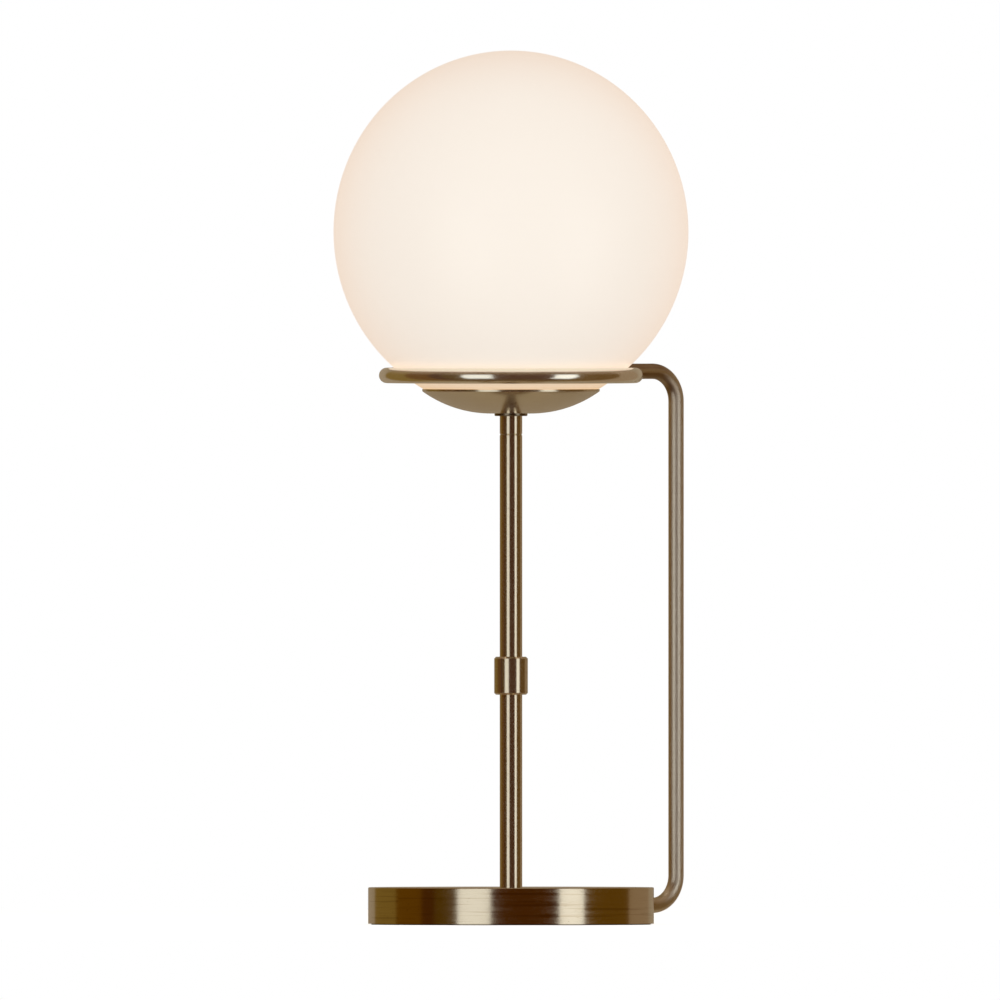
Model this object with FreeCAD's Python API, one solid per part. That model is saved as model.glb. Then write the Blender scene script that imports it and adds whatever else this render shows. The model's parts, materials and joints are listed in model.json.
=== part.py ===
import FreeCAD, Part
import math
import os

from FreeCAD import Vector

# A glass globe table lamp.  A round weighted base carries a slim two-part stem.  The stem ends in a
# shallow dish that closes the bottom of an opal glass globe.  A bent rod rises from the side of the
# base and carries a hoop that goes round the globe just above the dish.
#
# Millimetres.  +Z is up and Z = 0 is the table.  The stem stands on the Z axis, the rod is on the
# +X side and the mains lead would leave the base on the +Y side.

# ---- base -------------------------------------------------------------------------------------
base_diameter = 161.0
base_height = 21.0          # from the table to the top face
shell_wall = 1.5
shell_top = 2.0
shell_edge_round = 0.6
shell_lift = 0.5            # the rim clears the table by this much
pad_thickness = 1.5
plate_thickness = 1.5
inner_clearance = 0.3       # round the pad and the plate, inside the shell
weight_play = 0.2           # between the plate and the weight
weight_gap = 3.5            # round the weight, inside the shell
weight_web = 3.0            # iron left above the nut
weight_edge = 1.0           # chamfer of the casting
nut_well_radius = 15.0
plate_screw_circle = 58.0   # radius of the ring of screws
plate_screw_count = 4
plate_screw_first = 45.0    # degrees from the rod's side
plate_screw_radius = 1.5
plate_screw_head = 3.0      # radius of the countersunk head
plate_screw_length = 9.0
plate_screw_tip = 1.0       # drilling left beyond the screw's end

# ---- mains inlet and terminals ----------------------------------------------------------------
inlet_bore = 6.5            # passes a 6 mm round lead
inlet_body = 10.0
inlet_flange = 14.0
inlet_flange_thickness = 1.8
inlet_flange_round = 0.7
inlet_depth = 8.0           # how far the bush reaches in from the wall's face
inlet_nut_width = 14.0      # across flats
inlet_nut_thickness = 3.0
lead_channel_width = 12.0
terminal_width = 19.0
terminal_depth = 17.0
terminal_height = 11.0
terminal_offset = 34.0      # from the axis to the near face
terminal_play = 3.0         # round the block in its pocket
terminal_screw_radius = 1.6
terminal_screw_spacing = 9.0
terminal_bore = 5.2
terminal_slot = 0.6         # width of the screwdriver slots
terminal_slot_depth = 0.7
terminal_screw_sunk = 0.2   # below the block's face

# ---- stem -------------------------------------------------------------------------------------
stem_diameter = 12.7
stem_bore = 10.5
rod_diameter = 10.0         # threaded tube inside the stem
rod_bore = 8.0
rod_clearance = 0.15        # round the threaded tube, where it passes through a piece
rod_end_gap = 1.0           # between the two threaded tubes, in the coupler
rod_tail = 0.5              # threaded tube showing below its nut
lower_stem_length = 108.5   # from the base to the coupler
coupler_diameter = 19.0
coupler_length = 21.4
coupler_seat = 4.0          # how far each stem tube enters the coupler
coupler_chamfer = 1.0
upper_stem_length = 125.2   # from the coupler to the ferrule
ferrule_length = 10.4
ferrule_groove = 0.5        # chamfers that make the groove under the ferrule
saddle_diameter = 18.6      # thin washer under the dish
saddle_thickness = 1.4
slip_clearance = 0.05       # turned pieces that slide into each other
nut_width = 17.0            # across flats, M10 fine nuts
nut_thickness = 3.5
washer_diameter = 20.0
washer_thickness = 1.0

# ---- dish and its seal ------------------------------------------------------------------------
dish_diameter = 100.0
dish_flat = 22.5            # diameter of the flat in the middle
dish_curve = 66.0           # radius of the curved part, outside
dish_wall = 1.0
seal_inside_rim = 2.5       # from the dish's rim in to the seal
seal_beyond_lip = 1.5       # from the glass's lip out to the seal
seal_play = 0.3             # between the seal and the glass

# ---- glass globe ------------------------------------------------------------------------------
globe_diameter = 200.0
globe_height = 204.0        # if the bottom were closed
globe_wall = 3.0
globe_overlap = 10.0        # how far the glass runs in over the dish, from the dish's rim
globe_above_floor = 1.0     # least height of the lip over the inside of the dish
globe_above_dish = 0.35     # height of the glass over the dish's rim, at the rim
globe_in_hoop = 1.6         # from the glass to the bar of the hoop round it

# ---- hoop and rod -----------------------------------------------------------------------------
rod_stock = 8.7             # hoop and arm are bent from the same round bar
hoop_diameter = 148.8       # outside
arm_beside_globe = 13.65    # between the globe's side and the upright
arm_bend = 17.0             # radius at the rod's middle
arm_over_hoop = 2.0         # the rod meets the hoop a little above its middle
arm_foot_height = 10.5
seat_gap = 0.05             # between the rod's foot and the shell
foot_screw_radius = 2.4
foot_screw_length = 16.0
foot_tapping_spare = 1.0    # drilling left beyond the screw's end
foot_screw_head = 4.4       # radius
foot_screw_head_height = 3.0
foot_socket_width = 3.0     # across flats
foot_socket_depth = 1.8
foot_screw_clearance = 0.2
foot_washer_radius = 6.0
foot_washer_thickness = 1.2
foot_notch_width = 18.0

# ---- lampholder and bulb ----------------------------------------------------------------------
holder_radius = 20.0
holder_wall = 2.0
holder_cap_height = 18.0
holder_boss_radius = 11.0
holder_boss_height = 5.0
holder_skirt_height = 34.0
holder_insert_height = 7.0
holder_insert_play = 0.3
holder_ribs = 24
holder_rib_depth = 0.6
thread_shell_wall = 0.5
thread_shell_play = 0.45    # between the bulb's thread and the shell
thread_shell_height = 21.0
contact_radius = 3.5
contact_height = 1.6
contact_gap = 0.3
bulb_thread_radius = 13.1
bulb_thread_depth = 0.9
bulb_thread_pitch = 3.62
bulb_thread_turns = 5
bulb_tip_radius = 5.5
bulb_tip_height = 3.0
bulb_neck_radius = 14.2
bulb_radius = 30.0
bulb_housing_height = 38.0
lead_diameter = 4.2
lead_bend = 6.0

# ---- heights worked out from the sizes above ----------------------------------------------------
base_radius = base_diameter / 2
shell_inner = base_radius - shell_wall
plate_top = pad_thickness + plate_thickness
weight_bottom = plate_top + weight_play
weight_top = base_height - shell_top
weight_radius = shell_inner - weight_gap
nut_well_top = weight_top - weight_web
base_nut_top = nut_well_top - washer_thickness
rod_bottom = base_nut_top - nut_thickness - rod_tail

coupler_bottom = base_height + lower_stem_length
coupler_top = coupler_bottom + coupler_length
coupler_middle = (coupler_bottom + coupler_top) / 2
ferrule_bottom = coupler_top + upper_stem_length
saddle_bottom = ferrule_bottom + ferrule_length
dish_bottom = saddle_bottom + saddle_thickness
dish_floor = dish_bottom + dish_wall
dish_curve_z = dish_bottom + dish_curve

globe_half_width = globe_diameter / 2
globe_half_height = globe_height / 2
dish_radius = dish_diameter / 2
globe_opening_radius = dish_radius - globe_overlap


def globe_drop(radius):
    """How far the outside of the glass lies below the globe's middle, at that radius."""
    return globe_half_height * math.sqrt(1 - (radius / globe_half_width) ** 2)


def dish_inside(radius):
    """The height of the inside of the dish, at that radius."""
    return dish_curve_z - math.sqrt((dish_curve - dish_wall) ** 2 - (radius - dish_flat / 2) ** 2)


dish_rim = dish_inside(dish_radius)
middle_over_rim = dish_rim + globe_above_dish + globe_drop(dish_radius)
middle_over_floor = dish_inside(globe_opening_radius) + globe_above_floor + globe_drop(globe_opening_radius)
globe_middle = max(middle_over_rim, middle_over_floor)

rod_radius = rod_stock / 2
hoop_radius = hoop_diameter / 2 - rod_radius


def hoop_height():
    """The height at which the hoop's round bar has its even gap to the glass that it guards."""
    stand_off = rod_radius + globe_in_hoop
    low, high = math.pi / 2, math.pi
    for halving in range(60):
        turn = (low + high) / 2
        slope = math.hypot(globe_half_height * math.sin(turn), globe_half_width * math.cos(turn))
        reach = globe_half_width * math.sin(turn) + stand_off * globe_half_height * math.sin(turn) / slope
        if reach > hoop_radius:
            low = turn
        else:
            high = turn
    drop = globe_half_width * math.cos(turn) / slope
    return globe_middle + globe_half_height * math.cos(turn) + stand_off * drop


hoop_middle = hoop_height()
arm_top = hoop_middle + arm_over_hoop
arm_reach = globe_half_width + arm_beside_globe + rod_radius
seal_inner = globe_opening_radius + seal_beyond_lip
seal_outer = dish_radius - seal_inside_rim

dish_nut_top = dish_floor + washer_thickness + nut_thickness
holder_bottom = dish_nut_top
holder_cap_top = holder_bottom + holder_cap_height
insert_top = holder_cap_top + holder_insert_height
contact_top = insert_top + contact_height
bulb_bottom = contact_top + contact_gap
bulb_thread_bottom = bulb_bottom + bulb_tip_height
bulb_thread_top = bulb_thread_bottom + bulb_thread_pitch * bulb_thread_turns
bulb_neck_top = bulb_thread_top + bulb_thread_pitch
bulb_split = bulb_neck_top + bulb_housing_height
lead_height = rod_bottom - lead_bend / 2

UP = Vector(0, 0, 1)
ORIGIN = Vector(0, 0, 0)


# ---- helpers ------------------------------------------------------------------------------------
def disc(radius, bottom, top):
    """An upright cylinder on the lamp's axis."""
    return Part.makeCylinder(radius, top - bottom, Vector(0, 0, bottom), UP)


def tube(outer, inner, bottom, top):
    """An upright tube on the lamp's axis."""
    return disc(outer, bottom, top).cut(disc(inner, bottom - 1, top + 1))


def box(x_low, x_high, y_low, y_high, z_low, z_high):
    corner = Vector(x_low, y_low, z_low)
    return Part.makeBox(x_high - x_low, y_high - y_low, z_high - z_low, corner)


def hexagon(width, bottom, top):
    """A nut blank on the lamp's axis, width across its flats."""
    corner = width / math.sqrt(3)
    points = [Vector(corner * math.cos(math.radians(60 * k)), corner * math.sin(math.radians(60 * k)), bottom)
              for k in range(7)]
    blank = Part.Face(Part.makePolygon(points)).extrude(UP * (top - bottom))
    rounding = width * 0.55
    lower = Part.makeCone(rounding * 0.92, rounding * 1.15, (top - bottom) / 2, Vector(0, 0, bottom), UP)
    upper = Part.makeCone(rounding * 1.15, rounding * 0.92, (top - bottom) / 2,
                          Vector(0, 0, (top + bottom) / 2), UP)
    return blank.common(lower.fuse(upper))


def spun(edges):
    """Turns a closed outline in the XZ plane about the lamp's axis."""
    outline = Part.Wire(Part.__sortEdges__(edges))
    return Part.Solid(Part.Face(outline).revolve(ORIGIN, UP, 360))


def turned(points):
    """Turns a polygon of (radius, height) points about the lamp's axis."""
    corners = [Vector(r, 0, z) for r, z in points]
    sides = [Part.makeLine(a, b) for a, b in zip(corners, corners[1:] + corners[:1])]
    return spun(sides)


def line(a, b):
    return Part.makeLine(Vector(a[0], 0, a[1]), Vector(b[0], 0, b[1]))


def arc(a, middle, b):
    return Part.Arc(Vector(a[0], 0, a[1]), Vector(middle[0], 0, middle[1]), Vector(b[0], 0, b[1])).toShape()


def round_edges(solid, radius, wanted):
    """Fillets the edges for which wanted(edge) is true."""
    edges = [edge for edge in solid.Edges if wanted(edge)]
    return solid.makeFillet(radius, edges)


def rim_at(height, radius):
    """A test for a full round edge on the lamp's axis, at that height and radius."""
    def wanted(edge):
        box_of = edge.BoundBox
        flat = box_of.ZLength < 1e-6 and abs(box_of.ZMin - height) < 1e-4
        return flat and abs(box_of.XMax - radius) < 1e-3 and abs(box_of.XMin + radius) < 1e-3
    return wanted


def swept(path, radius, start, direction):
    """A round bar along a path."""
    section = Part.Wire(Part.makeCircle(radius, start, direction))
    return Part.Wire(path).makePipeShell([section], True, True)


# ---- base ---------------------------------------------------------------------------------------
def make_base_shell():
    """The deep-drawn drum that shows: closed on top, open below, with its three holes."""
    drum = disc(base_radius, shell_lift, base_height)
    drum = round_edges(drum, shell_edge_round, rim_at(base_height, base_radius))
    drum = drum.cut(disc(shell_inner, shell_lift - 1, weight_top))
    drum = drum.cut(disc(rod_diameter / 2 + rod_clearance, weight_top - 1, base_height + 1))
    foot_hole = Part.makeCylinder(foot_screw_radius + foot_screw_clearance, 4 * shell_wall,
                                  Vector(shell_inner - shell_wall, 0, arm_foot_height), Vector(1, 0, 0))
    inlet_hole = Part.makeCylinder(inlet_body / 2 + slip_clearance, 4 * shell_wall,
                                   Vector(0, shell_inner - shell_wall, arm_foot_height), Vector(0, 1, 0))
    return drum.cut(foot_hole).cut(inlet_hole)


def plate_screw_angles():
    return [plate_screw_first + 360.0 * k / plate_screw_count for k in range(plate_screw_count)]


def on_screw_circle(solid, angle):
    """Moves a solid made on the lamp's axis out to one of the plate's screws."""
    moved = solid.copy()
    moved.translate(Vector(plate_screw_circle, 0, 0))
    moved.rotate(ORIGIN, UP, angle)
    return moved


def make_counterweight():
    """The iron casting that keeps the lamp upright, with room for nut, lead, terminals and rod's foot."""
    casting = disc(weight_radius, weight_bottom, weight_top)
    casting = casting.makeChamfer(weight_edge, [e for e in casting.Edges if e.BoundBox.ZLength < 1e-6])
    casting = casting.cut(disc(rod_diameter / 2 + rod_clearance, weight_bottom, weight_top + 1))
    casting = casting.cut(disc(nut_well_radius, weight_bottom - 1, nut_well_top))
    half_channel = lead_channel_width / 2
    casting = casting.cut(box(-half_channel, half_channel, 0, base_radius, weight_bottom - 1, nut_well_top))
    half_pocket = terminal_width / 2 + terminal_play
    casting = casting.cut(box(-half_pocket, half_pocket, terminal_offset - terminal_play,
                              terminal_offset + terminal_depth + terminal_play,
                              weight_bottom - 1, nut_well_top))
    notch_depth = foot_washer_thickness + foot_screw_head_height + 2 * shell_wall
    half_notch = foot_notch_width / 2
    casting = casting.cut(box(shell_inner - notch_depth, base_radius, -half_notch, half_notch,
                              weight_bottom - 1, weight_top + 1))
    nut_half = inlet_nut_width * 0.6
    casting = casting.cut(box(-nut_half, nut_half, shell_inner - inlet_depth, base_radius,
                              weight_bottom - 1, weight_top + 1))
    screw_top = pad_thickness + plate_screw_length + plate_screw_tip
    for angle in plate_screw_angles():
        drilling = disc(plate_screw_radius + slip_clearance, weight_bottom - 1, screw_top)
        casting = casting.cut(on_screw_circle(drilling, angle))
    return casting


def plate_screw_blank(play):
    """A countersunk screw standing on the plate's underside, grown by play."""
    head_depth = plate_thickness
    return turned([(0, pad_thickness), (plate_screw_head + play, pad_thickness),
                   (plate_screw_radius + play, pad_thickness + head_depth),
                   (plate_screw_radius + play, pad_thickness + plate_screw_length),
                   (0, pad_thickness + plate_screw_length)])


def make_bottom_plate():
    plate = disc(shell_inner - inner_clearance, pad_thickness, plate_top)
    for angle in plate_screw_angles():
        plate = plate.cut(on_screw_circle(plate_screw_blank(slip_clearance), angle))
    return plate


def make_plate_screws():
    """One countersunk screw at each place, with its cross recess."""
    recess_long = box(-1.6, 1.6, -0.35, 0.35, pad_thickness - 1, pad_thickness + 1.0)
    recess = recess_long.fuse(box(-0.35, 0.35, -1.6, 1.6, pad_thickness - 1, pad_thickness + 1.0))
    screw = plate_screw_blank(0).cut(recess)
    return Part.Compound([on_screw_circle(screw, angle) for angle in plate_screw_angles()])


def make_base_pad():
    """The soft disc that the lamp stands on."""
    return disc(shell_inner - inner_clearance, 0, pad_thickness)


def make_base_washer():
    return tube(washer_diameter / 2, rod_diameter / 2 + rod_clearance, base_nut_top, nut_well_top)


def make_nut(bottom):
    blank = hexagon(nut_width, bottom, bottom + nut_thickness)
    return blank.cut(disc(rod_diameter / 2 + slip_clearance, bottom - 1, bottom + nut_thickness + 1))


def make_inlet_bush():
    """The moulded bush in the back wall that the mains lead would pass through."""
    outer_face = base_radius + inlet_flange_thickness
    inner_end = base_radius - inlet_depth
    flange_face = Vector(0, base_radius, arm_foot_height)
    flange = Part.makeCylinder(inlet_flange / 2, inlet_flange_thickness, flange_face,
                               Vector(0, 1, 0))
    outer_rim = [e for e in flange.Edges if e.BoundBox.YMin > outer_face - 1e-4]
    flange = flange.makeFillet(inlet_flange_round, outer_rim)
    body_end = Vector(0, inner_end, arm_foot_height)
    body = Part.makeCylinder(inlet_body / 2, inlet_depth, body_end, Vector(0, 1, 0))
    bore = Part.makeCylinder(inlet_bore / 2, outer_face - inner_end + 2,
                             Vector(0, inner_end - 1, arm_foot_height), Vector(0, 1, 0))
    return flange.fuse(body).removeSplitter().cut(bore)


def make_inlet_nut():
    """The nut that holds the bush, with its face just clear of the curved wall."""
    half_width = inlet_nut_width / math.sqrt(3)
    face = math.sqrt(shell_inner ** 2 - half_width ** 2) - slip_clearance
    nut = hexagon(inlet_nut_width, 0, inlet_nut_thickness)
    nut = nut.cut(disc(inlet_body / 2 + slip_clearance, -1, inlet_nut_thickness + 1))
    nut.rotate(ORIGIN, Vector(1, 0, 0), 90)
    nut.translate(Vector(0, face, arm_foot_height))
    return nut


def terminal_clamp_places():
    """Where the four clamping screws stand: two for each conductor."""
    middle = terminal_offset + terminal_depth / 2
    half = terminal_screw_spacing / 2
    return [(x, middle + y) for x in (-half, half) for y in (-half, half)]


def make_terminal_block():
    """A two-way screw connector under the roof of its pocket."""
    half = terminal_width / 2
    top = nut_well_top
    block = box(-half, half, terminal_offset, terminal_offset + terminal_depth, top - terminal_height, top)
    block = block.makeChamfer(0.8, [e for e in block.Edges if e.BoundBox.ZLength > terminal_height - 1e-3])
    half_spacing = terminal_screw_spacing / 2
    for x in (-half_spacing, half_spacing):
        block = block.cut(Part.makeCylinder(terminal_bore / 2, terminal_depth + 2,
                                            Vector(x, terminal_offset - 1, lead_height), Vector(0, 1, 0)))
    for x, y in terminal_clamp_places():
        well = Part.makeCylinder(terminal_screw_radius + slip_clearance, terminal_height - 2.0,
                                 Vector(x, y, top - terminal_height - 1), UP)
        block = block.cut(well)
    return block


def make_terminal_screws():
    """The clamping screws, turned in from below until they reach the bores."""
    bottom = nut_well_top - terminal_height + terminal_screw_sunk
    screws = []
    for x, y in terminal_clamp_places():
        screw = Part.makeCylinder(terminal_screw_radius, lead_height - bottom, Vector(x, y, bottom), UP)
        slot = box(x - terminal_screw_radius, x + terminal_screw_radius,
                   y - terminal_slot / 2, y + terminal_slot / 2, bottom - 1, bottom + terminal_slot_depth)
        screws.append(screw.cut(slot))
    return Part.Compound(screws)


# ---- stem ---------------------------------------------------------------------------------------
def make_threaded_tube(bottom, top):
    blank = tube(rod_diameter / 2, rod_bore / 2, bottom, top)
    ends = [e for e in blank.Edges if e.BoundBox.ZLength < 1e-6 and e.BoundBox.XMax > rod_diameter / 2 - 1e-3]
    return blank.makeChamfer(0.4, ends)


def make_lower_stem():
    return tube(stem_diameter / 2, stem_bore / 2, base_height, coupler_bottom + coupler_seat)


def make_coupler():
    """The turned sleeve that joins the two halves of the stem."""
    sleeve = disc(coupler_diameter / 2, coupler_bottom, coupler_top)
    sleeve = sleeve.makeChamfer(coupler_chamfer, [e for e in sleeve.Edges if e.BoundBox.ZLength < 1e-6])
    sleeve = sleeve.cut(disc(rod_diameter / 2 + slip_clearance, coupler_bottom - 1, coupler_top + 1))
    seat = stem_diameter / 2 + slip_clearance
    sleeve = sleeve.cut(disc(seat, coupler_bottom - 1, coupler_bottom + coupler_seat))
    return sleeve.cut(disc(seat, coupler_top - coupler_seat, coupler_top + 1))


def make_upper_stem():
    blank = tube(stem_diameter / 2, stem_bore / 2, coupler_top - coupler_seat, ferrule_bottom)
    return blank.makeChamfer(ferrule_groove, [e for e in blank.Edges
                                              if rim_at(ferrule_bottom, stem_diameter / 2)(e)])


def make_ferrule():
    """The short ring between the stem and the dish, with a fine groove where it meets the stem."""
    blank = tube(stem_diameter / 2, rod_diameter / 2 + rod_clearance, ferrule_bottom, saddle_bottom)
    return blank.makeChamfer(ferrule_groove, [e for e in blank.Edges
                                              if rim_at(ferrule_bottom, stem_diameter / 2)(e)])


def make_saddle():
    blank = tube(saddle_diameter / 2, rod_diameter / 2 + rod_clearance, saddle_bottom, dish_bottom)
    return blank.makeChamfer(saddle_thickness * 0.3, [e for e in blank.Edges
                                                      if rim_at(saddle_bottom, saddle_diameter / 2)(e)])


# ---- dish, seal and globe -----------------------------------------------------------------------
def dish_point(radius, curve):
    """A point of the dish's outside (curve = dish_curve) or inside, at a radius beyond the flat."""
    return radius, dish_curve_z - math.sqrt(curve ** 2 - (radius - dish_flat / 2) ** 2)


def make_dish():
    """The spun dish: a flat in the middle, one long curve, and a plain edge."""
    flat = dish_flat / 2
    inner_curve = dish_curve - dish_wall
    outer_edge = dish_point(dish_diameter / 2, dish_curve)
    inner_edge = dish_point(dish_diameter / 2, inner_curve)
    half_way = (flat + dish_diameter / 2) / 2
    hole = rod_diameter / 2 + rod_clearance
    return spun([
        line((hole, dish_bottom), (flat, dish_bottom)),
        arc((flat, dish_bottom), dish_point(half_way, dish_curve), outer_edge),
        line(outer_edge, inner_edge),
        arc(inner_edge, dish_point(half_way, inner_curve), (flat, dish_floor)),
        line((flat, dish_floor), (hole, dish_floor)),
        line((hole, dish_floor), (hole, dish_bottom)),
    ])


def make_dish_washer():
    hole = rod_diameter / 2 + rod_clearance
    return tube(washer_diameter / 2, hole, dish_floor, dish_floor + washer_thickness)


def ellipse_arc(half_width, half_height, start, end):
    """Part of the upright ellipse round the globe's middle, between two turns from its top."""
    top = Vector(0, 0, globe_middle + half_height)
    side = Vector(half_width, 0, globe_middle)
    middle = Vector(0, 0, globe_middle)
    if half_height >= half_width:
        return Part.ArcOfEllipse(Part.Ellipse(top, side, middle), start, end).toShape()
    quarter = math.pi / 2
    squat = Part.ArcOfEllipse(Part.Ellipse(side, top, middle), quarter - end, quarter - start)
    return squat.toNurbs().toShape()


def turn_at(radius, half_width):
    """The turn from the top to where the lower half of the ellipse is that far from the axis."""
    return math.pi - math.asin(radius / half_width)


def ellipse_point(half_width, half_height, turn):
    return half_width * math.sin(turn), globe_middle + half_height * math.cos(turn)


def make_glass_globe():
    """The blown globe, a little taller than wide, open at the bottom with its lip melted round."""
    width = globe_half_width
    height = globe_half_height
    inner_width = width - globe_wall
    inner_height = height - globe_wall
    outer_turn = turn_at(globe_opening_radius, width)
    inner_turn = turn_at(globe_opening_radius, inner_width)
    outer_end = ellipse_point(width, height, outer_turn)
    inner_end = ellipse_point(inner_width, inner_height, inner_turn)
    half_lip = (inner_end[1] - outer_end[1]) / 2
    lip = (globe_opening_radius - half_lip, outer_end[1] + half_lip)
    return spun([
        ellipse_arc(width, height, 0, outer_turn),
        arc(outer_end, lip, inner_end),
        ellipse_arc(inner_width, inner_height, 0, inner_turn),
        line(ellipse_point(inner_width, inner_height, 0), ellipse_point(width, height, 0)),
    ])


def make_globe_seal():
    """The soft ring between dish and glass, moulded to both."""
    blank = tube(seal_outer, seal_inner, dish_floor, dish_rim)
    return blank.common(dish_room()).cut(globe_form(seal_play))


def globe_form(growth):
    """The globe's whole outer form as a solid, grown outward."""
    outer = (globe_half_width + growth, globe_half_height + growth)
    return spun([
        ellipse_arc(outer[0], outer[1], 0, math.pi),
        line(ellipse_point(outer[0], outer[1], math.pi), ellipse_point(outer[0], outer[1], 0)),
    ])


def dish_room():
    """The space inside the dish, up to its rim."""
    flat = dish_flat / 2
    inner_curve = dish_curve - dish_wall
    edge = dish_point(dish_diameter / 2, inner_curve)
    half_way = (flat + dish_diameter / 2) / 2
    return spun([
        line((0, dish_floor), (flat, dish_floor)),
        arc((flat, dish_floor), dish_point(half_way, inner_curve), edge),
        line(edge, (0, edge[1])),
        line((0, edge[1]), (0, dish_floor)),
    ])


# ---- hoop and rod -------------------------------------------------------------------------------
def make_hoop():
    return Part.makeTorus(hoop_radius, rod_radius, Vector(0, 0, hoop_middle), UP)


def quarter_bend(centre, sign):
    """A quarter turn of the rod's middle line, from upright to level (sign +1 at the top)."""
    slant = arm_bend * math.sqrt(0.5)
    upright_end = Vector(centre.x + arm_bend, 0, centre.z)
    level_end = Vector(centre.x, 0, centre.z + sign * arm_bend)
    middle = Vector(centre.x + slant, 0, centre.z + sign * slant)
    return upright_end, middle, level_end


def make_arm():
    """The bent rod: level at the foot, upright beside the globe, level again to the hoop."""
    bend_x = arm_reach - arm_bend
    foot = quarter_bend(Vector(bend_x, 0, arm_foot_height + arm_bend), -1)
    head = quarter_bend(Vector(bend_x, 0, arm_top - arm_bend), 1)
    start = Vector(base_radius - shell_wall, 0, arm_foot_height)
    end = Vector(hoop_radius, 0, arm_top)
    path = [
        Part.makeLine(start, foot[2]),
        Part.Arc(foot[2], foot[1], foot[0]).toShape(),
        Part.makeLine(foot[0], head[0]),
        Part.Arc(head[0], head[1], head[2]).toShape(),
        Part.makeLine(head[2], end),
    ]
    rod = swept(path, rod_radius, start, Vector(1, 0, 0))
    rod = rod.cut(disc(base_radius + seat_gap, shell_lift - 1, base_height + 1))
    inside_hoop = disc(hoop_radius, hoop_middle - rod_stock, hoop_middle + rod_stock)
    rod = rod.cut(make_hoop()).cut(inside_hoop)
    rod = max(rod.Solids, key=lambda solid: solid.Volume)
    tapping_start = Vector(foot_screw_seat(), 0, arm_foot_height)
    tapping = Part.makeCylinder(foot_screw_radius + slip_clearance, foot_screw_length + foot_tapping_spare,
                                tapping_start, Vector(1, 0, 0))
    return rod.cut(tapping)


def foot_washer_face():
    """Where the flat washer meets the curved inside of the shell."""
    return math.sqrt(shell_inner ** 2 - foot_washer_radius ** 2) - slip_clearance


def foot_screw_seat():
    """Where the underside of the screw's head lies."""
    return foot_washer_face() - foot_washer_thickness


def make_foot_washer():
    start = Vector(foot_screw_seat(), 0, arm_foot_height)
    blank = Part.makeCylinder(foot_washer_radius, foot_washer_thickness, start, Vector(1, 0, 0))
    return blank.cut(Part.makeCylinder(foot_screw_radius + foot_screw_clearance, foot_washer_thickness + 2,
                                       start - Vector(1, 0, 0), Vector(1, 0, 0)))


def make_foot_screw():
    """The screw through the shell's wall into the rod's foot, with a hexagon socket."""
    under_head = foot_screw_seat()
    along = Vector(1, 0, 0)
    head_start = Vector(under_head - foot_screw_head_height, 0, arm_foot_height)
    head = Part.makeCylinder(foot_screw_head, foot_screw_head_height, head_start, along)
    start = Vector(under_head, 0, arm_foot_height)
    shank = Part.makeCylinder(foot_screw_radius, foot_screw_length, start, along)
    socket = hexagon(foot_socket_width, 0, foot_socket_depth)
    socket.rotate(ORIGIN, Vector(0, 1, 0), 90)
    socket.translate(head_start)
    return head.fuse(shank).removeSplitter().cut(socket)


# ---- lampholder ---------------------------------------------------------------------------------
def make_holder_cap():
    """The lower half of the lampholder, screwed on to the threaded tube."""
    slope_top = holder_bottom + holder_boss_height + (holder_radius - holder_boss_radius)
    wall = holder_wall
    entry = rod_diameter / 2 + slip_clearance
    floor = holder_bottom + holder_boss_height
    return turned([
        (entry, holder_bottom), (holder_boss_radius, holder_bottom), (holder_boss_radius, floor),
        (holder_radius, slope_top), (holder_radius, holder_cap_top), (holder_radius - wall, holder_cap_top),
        (holder_radius - wall, slope_top + wall / 2), (holder_boss_radius, floor + wall), (entry, floor + wall),
    ])


def make_holder_skirt():
    """The upper half: a plain sleeve with fine grip flutes."""
    top = holder_cap_top + holder_skirt_height
    sleeve = tube(holder_radius, holder_radius - holder_wall, holder_cap_top, top)
    sleeve = round_edges(sleeve, holder_wall / 3, rim_at(top, holder_radius))
    flute = Part.makeCylinder(1.0, holder_skirt_height / 2,
                              Vector(holder_radius + 1.0 - holder_rib_depth, 0, holder_cap_top - 1), UP)
    flutes = []
    for k in range(holder_ribs):
        copy = flute.copy()
        copy.rotate(ORIGIN, UP, 360.0 * k / holder_ribs)
        flutes.append(copy)
    return sleeve.cut(Part.Compound(flutes))


def make_holder_insert():
    """The insulating disc that carries the contacts."""
    radius = holder_radius - holder_wall - holder_insert_play
    disc_part = disc(radius, holder_cap_top - holder_insert_height / 2, insert_top)
    lead_hole = disc(lead_diameter / 2 + rod_clearance, holder_cap_top - holder_insert_height, insert_top - 3.0)
    return disc_part.cut(lead_hole)


def make_thread_shell():
    """The brass sleeve that takes the bulb's thread."""
    inner = bulb_thread_radius + thread_shell_play
    return tube(inner + thread_shell_wall, inner, insert_top, insert_top + thread_shell_height)


def make_centre_contact():
    return round_edges(disc(contact_radius, insert_top, contact_top), contact_height * 0.4,
                       rim_at(contact_top, contact_radius))


# ---- bulb ---------------------------------------------------------------------------------------
def make_bulb_cap():
    """The rolled screw cap: a rounded wave for each turn, then the insulated tip."""
    root = bulb_thread_radius - bulb_thread_depth
    edges = [line((0, bulb_bottom), (bulb_tip_radius, bulb_bottom)),
             line((bulb_tip_radius, bulb_bottom), (root, bulb_thread_bottom))]
    for turn in range(bulb_thread_turns):
        low = bulb_thread_bottom + bulb_thread_pitch * turn
        crest = low + bulb_thread_pitch / 2
        edges.append(arc((root, low), (bulb_thread_radius, crest), (root, low + bulb_thread_pitch)))
    edges.append(line((root, bulb_thread_top), (root, bulb_neck_top)))
    edges.append(line((root, bulb_neck_top), (0, bulb_neck_top)))
    edges.append(line((0, bulb_neck_top), (0, bulb_bottom)))
    return spun(edges)


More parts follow.
